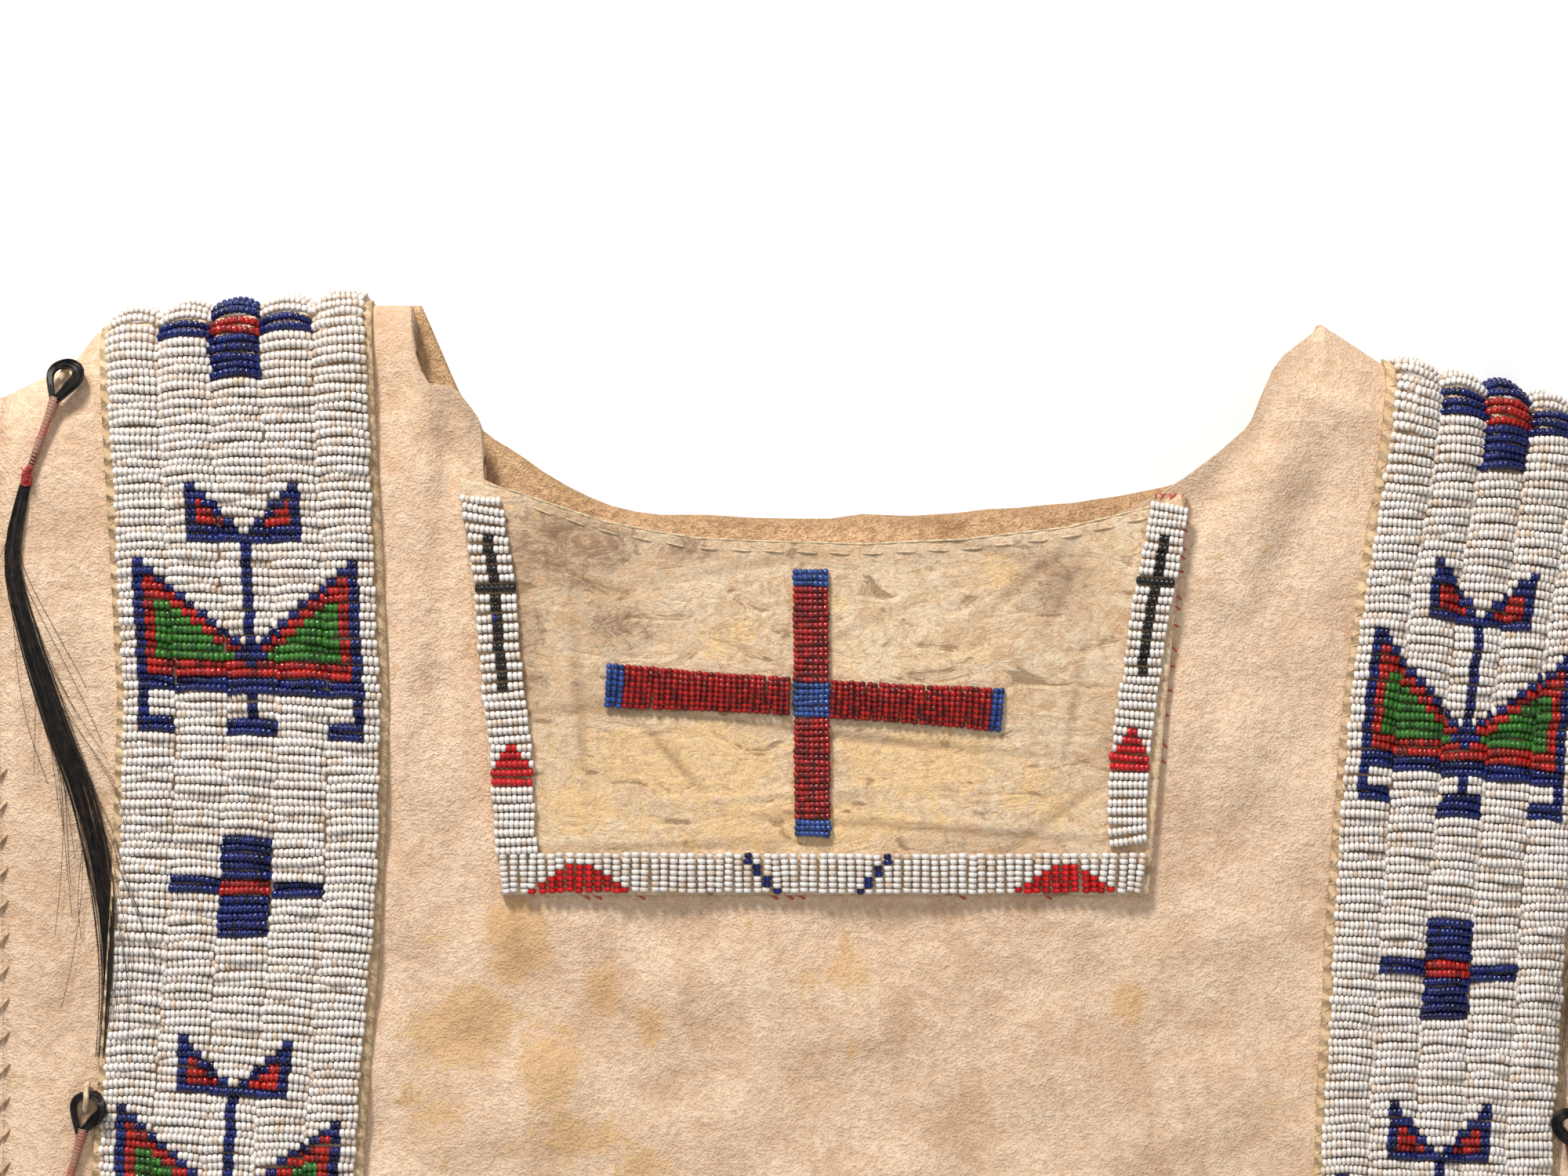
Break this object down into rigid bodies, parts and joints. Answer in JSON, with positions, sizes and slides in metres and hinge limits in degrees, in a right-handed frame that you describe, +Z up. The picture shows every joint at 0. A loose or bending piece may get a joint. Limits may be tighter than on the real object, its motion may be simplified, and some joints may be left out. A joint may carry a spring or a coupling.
{
  "type": "plains war shirt laid flat",
  "caption": "Long-sleeved hide shirt laid flat, with beaded shoulder strips, a beaded bib at the neck and hanging locks of hair.",
  "frame": {"origin": "under the middle of the whole shirt's box, on the surface it lies on", "axes": "+Z up out of the cloth as it lies, +Y towards the shoulders, +X to the right as seen from above"},
  "size_m": [1.212, 0.711, 0.0159],
  "materials": {
    "hide": "napped brain-tanned hide, matt",
    "bib_hide": "worn smoked hide, matt, darker than the body",
    "beads": "opaque white glass seed beads with blue, red and green figures",
    "quill_wrap": "red-brown wrapping, satin",
    "hair": "black horsehair, soft gloss"
  },
  "bodies": {
    "root": {"front_hide": "hide", "back_hide": "hide", "sleeve_left": "hide", "sleeve_right": "hide", "shoulder_strip_left": "beads", "shoulder_strip_right": "beads", "bib": "bib_hide", "hair_wrap_left_upper": "quill_wrap", "hair_wrap_left_lower": "quill_wrap", "hair_wrap_right_upper": "quill_wrap", "hair_wrap_right_lower": "quill_wrap", "hair_lock_left_upper": "hair", "hair_lock_left_lower": "hair", "hair_lock_right_upper": "hair", "hair_lock_right_lower": "hair"}
  },
  "joints": []
}
